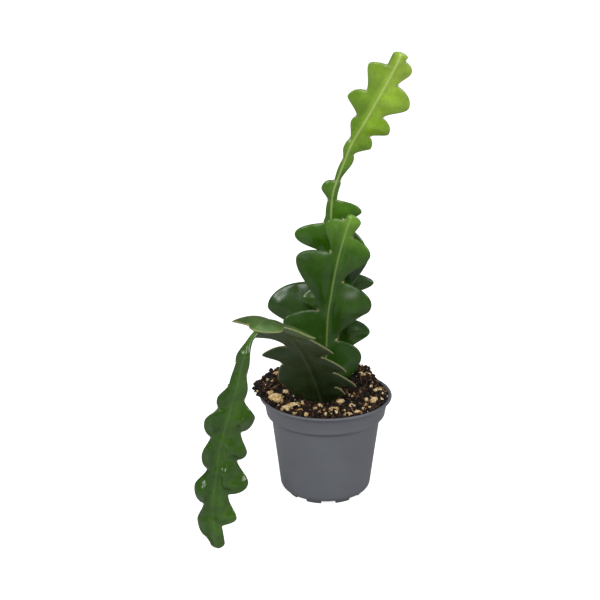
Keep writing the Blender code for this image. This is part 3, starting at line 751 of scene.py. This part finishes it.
def edge_distances(places, outline):
    """How far places on the sheet are from its outline."""
    start, run = outline, np.roll(outline, -1, axis=0) - outline
    best = np.full(len(places), 1e9)
    for a, r in zip(start, run):
        share = np.clip(((places - a) @ r) / max(r @ r, 1e-12), 0.0, 1.0)
        best = np.minimum(best, np.linalg.norm(places - a - share[:, None] * r, axis=1))
    return best


def are_inside(places, outline):
    crossings = np.zeros(len(places), dtype=int)
    after = np.roll(outline, -1, axis=0)
    for a, b in zip(outline, after):
        if a[1] == b[1]:
            continue
        level = (a[1] > places[:, 1]) != (b[1] > places[:, 1])
        cut = a[0] + (places[:, 1] - a[1]) / (b[1] - a[1]) * (b[0] - a[0])
        crossings += level & (places[:, 0] < cut)
    return crossings % 2 == 1


def pillow_share(form, along, out):
    """How full of water a place is: most in the middle of a lobe, least in line with the notches."""
    share = np.zeros(len(along))
    for side, sign in (("right", 1), ("left", -1)):
        notches = np.array([STUB_LENGTH / 2] + [lobe[2] for lobe in form[side]])
        k = np.clip(np.searchsorted(notches, along) - 1, 0, len(notches) - 2)
        phase = np.clip((along - notches[k]) / (notches[k + 1] - notches[k]), 0.0, 1.0)
        share = np.where(out * sign > 0, np.sin(np.pi * phase), share)
    return share * smooth_step(1.5, 7.0, np.abs(out))


def half_thickness(form, along, out, distance):
    """Half the stem's thickness: plump wings with round edges, and the midrib, thicker at the root."""
    round_edge = np.minimum(distance / form["rim"], 1.0)
    round_edge = np.sqrt(np.maximum(1.0 - (1.0 - round_edge) ** 2, 0.0))
    root_share = np.maximum(1.0 - along / ROOT_LENGTH, 0.0)
    rib = (RIB + form["root"][1] * root_share) * np.exp(-(out / RIB_SPREAD) ** 2)
    pillow = pillow_share(form, along, out) * (1.0 - np.exp(-(distance / PILLOW_EDGE) ** 2))
    return (WING / 2 + rib + form["pillow"] * pillow) * round_edge


def waves(along, out, seed):
    """How far the wings sway off the flat, growing from the midrib outward."""
    places = zip(along / WAVE_LENGTH, out / WAVE_LENGTH)
    sway = np.array([noise.noise(Vector((a, o, seed * 5.3))) for a, o in places])
    return WAVE * sway * smooth_step(1.0, 9.0, np.abs(out)) * smooth_step(0.0, 25.0, along)


def notch_places(form):
    """Where the notches with their areoles are, along and out."""
    places = []
    for side, sign in (("right", 1), ("left", -1)):
        places += [(lobe[2], sign * lobe[3]) for lobe in form[side] if lobe[3] > 0]
    return np.array(places, dtype=float)


def make_stem(name, form, material, seed):
    sheet = Sheet(form)
    right = side_outline(form, "right", OUTLINE_STEP)
    left = side_outline(form, "left", OUTLINE_STEP) * (1, -1)
    outline = np.concatenate([right, left[-2::-1]])
    turn = np.roll(outline, -1, axis=0) - np.roll(outline, 1, axis=0)
    turn /= np.maximum(np.linalg.norm(turn, axis=1, keepdims=True), 1e-9)
    inward = np.stack([-turn[:, 1], turn[:, 0]], axis=1)
    if not are_inside(outline[40:41] + inward[40:41] * 0.2, outline)[0]:
        inward = -inward
    rows = []
    for row in RIM_ROWS:
        places = outline + inward * row
        good = are_inside(places, outline) & (edge_distances(places, outline) > row * 0.93)
        rows.append(places[good][::1 if row < 1 else 2])
    reach = np.abs(outline[:, 1]).max() + FACE_STEP
    across = np.arange(-reach, reach, FACE_STEP * 0.87)
    along = np.arange(0, sheet.length + 4, FACE_STEP)
    grid = np.array([(a + FACE_STEP / 2 * (i % 2), o) for i, o in enumerate(across) for a in along])
    grid = grid[are_inside(grid, outline)]
    grid = grid[edge_distances(grid, outline) > RIM_ROWS[-1] + 0.6 * FACE_STEP]
    places = [Vector(p) for p in np.concatenate([outline, *rows, grid])]
    border = list(range(len(outline)))
    flat, _, triangles, came_from, _, _ = delaunay_2d_cdt(places, [], [border], 1, 1e-4)
    flat = np.array([tuple(p) for p in flat])
    on_rim = np.array([any(s < len(outline) for s in sources) for sources in came_from])
    distance = np.where(on_rim, 0.0, edge_distances(flat, outline))
    lift = half_thickness(form, flat[:, 0], flat[:, 1], distance)
    sway = waves(flat[:, 0], flat[:, 1], seed)
    front = sheet.points(flat[:, 0], flat[:, 1], sway + lift)
    back = sheet.points(flat[:, 0], flat[:, 1], sway - lift)
    count = len(flat)
    back_index = np.where(on_rim, np.arange(count), count + np.cumsum(~on_rim) - 1)
    triangles = np.array(triangles)
    faces = np.concatenate([triangles, back_index[triangles[:, ::-1]]])
    stem = new_piece(name, np.concatenate([front, back[~on_rim]]), faces.tolist(), material)
    notches = notch_places(form)
    notch = np.min(np.linalg.norm(flat[:, None, :2] - notches[None], axis=2), axis=1)
    facts = {"along": flat[:, 0], "out": flat[:, 1], "edge": distance, "notch": notch}
    for key, values in facts.items():
        attribute = stem.data.attributes.new(key, "FLOAT", "POINT")
        values = np.concatenate([values, values[~on_rim]])
        attribute.data.foreach_set("value", values.astype(np.float32))
    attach(stem, "root")
    return stem


def skin_material(name, look):
    """Waxy green skin with painted shade laid over its left wing; its shades are (millimetres from the root,
    colour).
    """
    material, tree, shader = new_material(name)
    place = add(tree, "TexCoord")
    facts = {}
    for key in ("along", "out", "edge", "notch"):
        facts[key] = add(tree, "Attribute", attribute_name=key).outputs["Fac"]
    longest = look["shades"][-1][0]
    grown = add(tree, "Math", {1: longest}, {0: facts["along"]}, operation="DIVIDE")
    stops = [(at / longest, linear(code)) for at, code in look["shades"]]
    age = add(tree, "ValToRGB", links={"Fac": grown.outputs[0]}, stops=stops)
    # Cloudy shades about 12 mm across, and a fine mottle of 2 mm.
    tone = age.outputs["Color"]
    for size_mm, low, high in ((12.0, 0.72, 1.3), (2.0, 0.9, 1.1)):
        cloud = add(tree, "TexNoise", {"Scale": 1000 / size_mm, "Detail": 3.0},
                    {"Vector": place.outputs["Object"]})
        depth = add(tree, "MapRange", {"From Min": 0.25, "From Max": 0.75, "To Min": low, "To Max": high},
                    {"Value": cloud.outputs["Fac"]})
        tone = add(tree, "VectorMath", {}, {0: tone, 1: depth.outputs["Result"]}, operation="MULTIPLY").outputs[0]
    # The left wing is darkened with painted shade, the midrib shows paler, the thin edge and the old notches dry
    # to cork, and streaks run outward.
    width = add(tree, "Math", {}, {0: facts["out"]}, operation="ABSOLUTE")
    streak_place = add(tree, "CombineXYZ", {}, {"X": facts["along"], "Y": facts["out"]})
    streak_shape = add(tree, "Mapping", {"Scale": (1.1, 0.16, 1.0)}, {"Vector": streak_place.outputs["Vector"]})
    streak = add(tree, "TexNoise", {"Scale": 1.0, "Detail": 3.0}, {"Vector": streak_shape.outputs["Vector"]})
    layers = [
        ("left", facts["out"], -4.0, -0.5, 1.0, 0.0),
        ("rib", width.outputs[0], 0.1, 1.0, 1.0, 0.0),
        ("edge", facts["edge"], 0.1, 0.75, 1.0, 0.0),
        ("cork", facts["notch"], 0.5, 1.6, 1.0, 0.0),
        ("streak", streak.outputs["Fac"], 0.62, 0.74, 0.0, 1.0),
    ]
    for key, source, start, end, first, last in layers:
        colour, strength = look[key]
        share = add(tree, "MapRange", {"From Min": start, "From Max": end, "To Min": strength * first,
                                       "To Max": strength * last}, {"Value": source})
        tone = add(tree, "Mix", {7: linear(colour)}, {0: share.outputs["Result"], 6: tone},
                   data_type="RGBA").outputs[2]
    tree.links.new(tone, shader.inputs["Base Color"])
    sheen = add(tree, "TexNoise", {"Scale": 1000 / 9, "Detail": 2.0}, {"Vector": place.outputs["Object"]})
    smooth, dull = look["roughness"]
    gloss = add(tree, "MapRange", {"From Min": 0.3, "From Max": 0.7, "To Min": smooth, "To Max": dull},
                {"Value": sheen.outputs["Fac"]})
    tree.links.new(gloss.outputs["Result"], shader.inputs["Roughness"])
    shader.inputs["IOR"].default_value = look["ior"]
    # Puckers of about 14 mm and pores of half a millimetre, drawn at 0.8 mm so that they show.
    pucker = add(tree, "TexNoise", {"Scale": 1000 / 14, "Detail": 0.6}, {"Vector": place.outputs["Object"]})
    swell = add(tree, "Bump", {"Strength": 1.0, "Distance": look["pucker_mm"] * MM},
                {"Height": pucker.outputs["Fac"]})
    pores = add(tree, "TexNoise", {"Scale": 1000 / 0.8, "Detail": 2.0}, {"Vector": place.outputs["Object"]})
    relief = add(tree, "Bump", {"Strength": 0.3, "Distance": 0.05 * MM},
                 {"Height": pores.outputs["Fac"], "Normal": swell.outputs["Normal"]})
    tree.links.new(relief.outputs["Normal"], shader.inputs["Normal"])
    return material


# Each skin's left colour is painted shade laid over the stem's left wing.
SKINS = {
    "front_stem": skin_material("dark_green_waxy_skin", {
        "shades": ((0, "#284412"), (40, "#26440F"), (95, "#2A480E"), (120, "#365A12"), (145, "#66902A")),
        "left": ("#20400A", 0.35), "rib": ("#8CA25C", 0.45), "edge": ("#2E4A18", 0.2), "cork": ("#7D7A4E", 0.5),
        "streak": ("#3C5A20", 0.2), "roughness": (0.22, 0.34), "ior": 1.4, "pucker_mm": 1.0}),
    "tall_stem": skin_material("green_skin_light_at_the_new_top", {
        "shades": ((0, "#2F5018"), (60, "#28480E"), (105, "#20420C"), (140, "#3E6812"), (170, "#4F7418"),
                   (200, "#6C9018"), (262, "#92B03C")),
        "left": ("#366006", 0.4), "rib": ("#C0CE88", 0.45), "edge": ("#5C7A34", 0.2), "cork": ("#8A8A5A", 0.4),
        "streak": ("#8CA648", 0.2), "roughness": (0.18, 0.32), "ior": 1.42, "pucker_mm": 2.5}),
    "back_stem": skin_material("old_green_skin", {
        "shades": ((0, "#1E330F"), (60, "#243E0E"), (107, "#305018")),
        "left": ("#284412", 0.3), "rib": ("#4E6434", 0.3), "edge": ("#34501C", 0.2), "cork": ("#6E6A48", 0.5),
        "streak": ("#34501F", 0.3), "roughness": (0.2, 0.34), "ior": 1.4, "pucker_mm": 1.5}),
    "arching_stem": skin_material("dull_skin_of_the_underside", {
        "shades": ((0, "#131F0D"), (45, "#1D2E12"), (90, "#2F4019"), (130, "#405A22"), (156, "#4C6C2E")),
        "left": ("#2C401A", 0.3), "rib": ("#66744A", 0.2), "edge": ("#A09C70", 0.5), "cork": ("#86805C", 0.6),
        "streak": ("#4A5E36", 0.35), "roughness": (0.34, 0.48), "ior": 1.36, "pucker_mm": 2.0}),
    "hanging_branch": skin_material("glossy_green_skin", {
        "shades": ((0, "#38581A"), (50, "#30500C"), (110, "#2E500A"), (164, "#3C6016")),
        "left": ("#1E3E04", 0.5), "rib": ("#48682A", 0.35), "edge": ("#2C4616", 0.4), "cork": ("#5E5C38", 0.5),
        "streak": ("#41661C", 0.4), "roughness": (0.14, 0.28), "ior": 1.45, "pucker_mm": 9.0}),
}
for seed, (name, form) in enumerate(STEMS.items()):
    make_stem(f"{name}_flesh", form, SKINS[name], seed)
for name in ("front_stem", "tall_stem", "back_stem", "arching_stem"):
    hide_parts(name)
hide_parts("arching_stem")

# Areoles: in every notch sits a tuft of pale felt, under a millimetre across, with a few short bristles.
felt = earth_material("areole_felt", ("#6B6040", "#A69C74", "#D6CFAE"), 0.4, 0.95, 0.1)
tufts, bristles = [], []
draw = random.Random(5)
for seed, form in enumerate(STEMS.values()):
    sheet = Sheet(form)
    notches = notch_places(form)
    sway = waves(notches[:, 0], notches[:, 1], seed)
    seats = sheet.points(notches[:, 0], notches[:, 1] * 1.01, sway)
    beyond = sheet.points(notches[:, 0] + 1.0, notches[:, 1] * 1.01 + np.sign(notches[:, 1]), sway)
    for seat, outer in zip(seats, beyond):
        tufts.append((seat, [draw.uniform(0.35, 0.6) for _ in range(3)], any_turn(draw), draw.random()))
        for _ in range(4):
            tip = seat + (outer - seat) * draw.uniform(0.8, 1.3)
            tip = tip + np.array([draw.gauss(0, 0.4) for _ in range(3)])
            bristles.append((np.linspace(seat, tip, 3), 0.09, draw.uniform(0.5, 1.0)))
lumps("areole_tufts", tufts, 1, 0.4, felt, smooth=True)
strands("areole_bristles", bristles, felt)
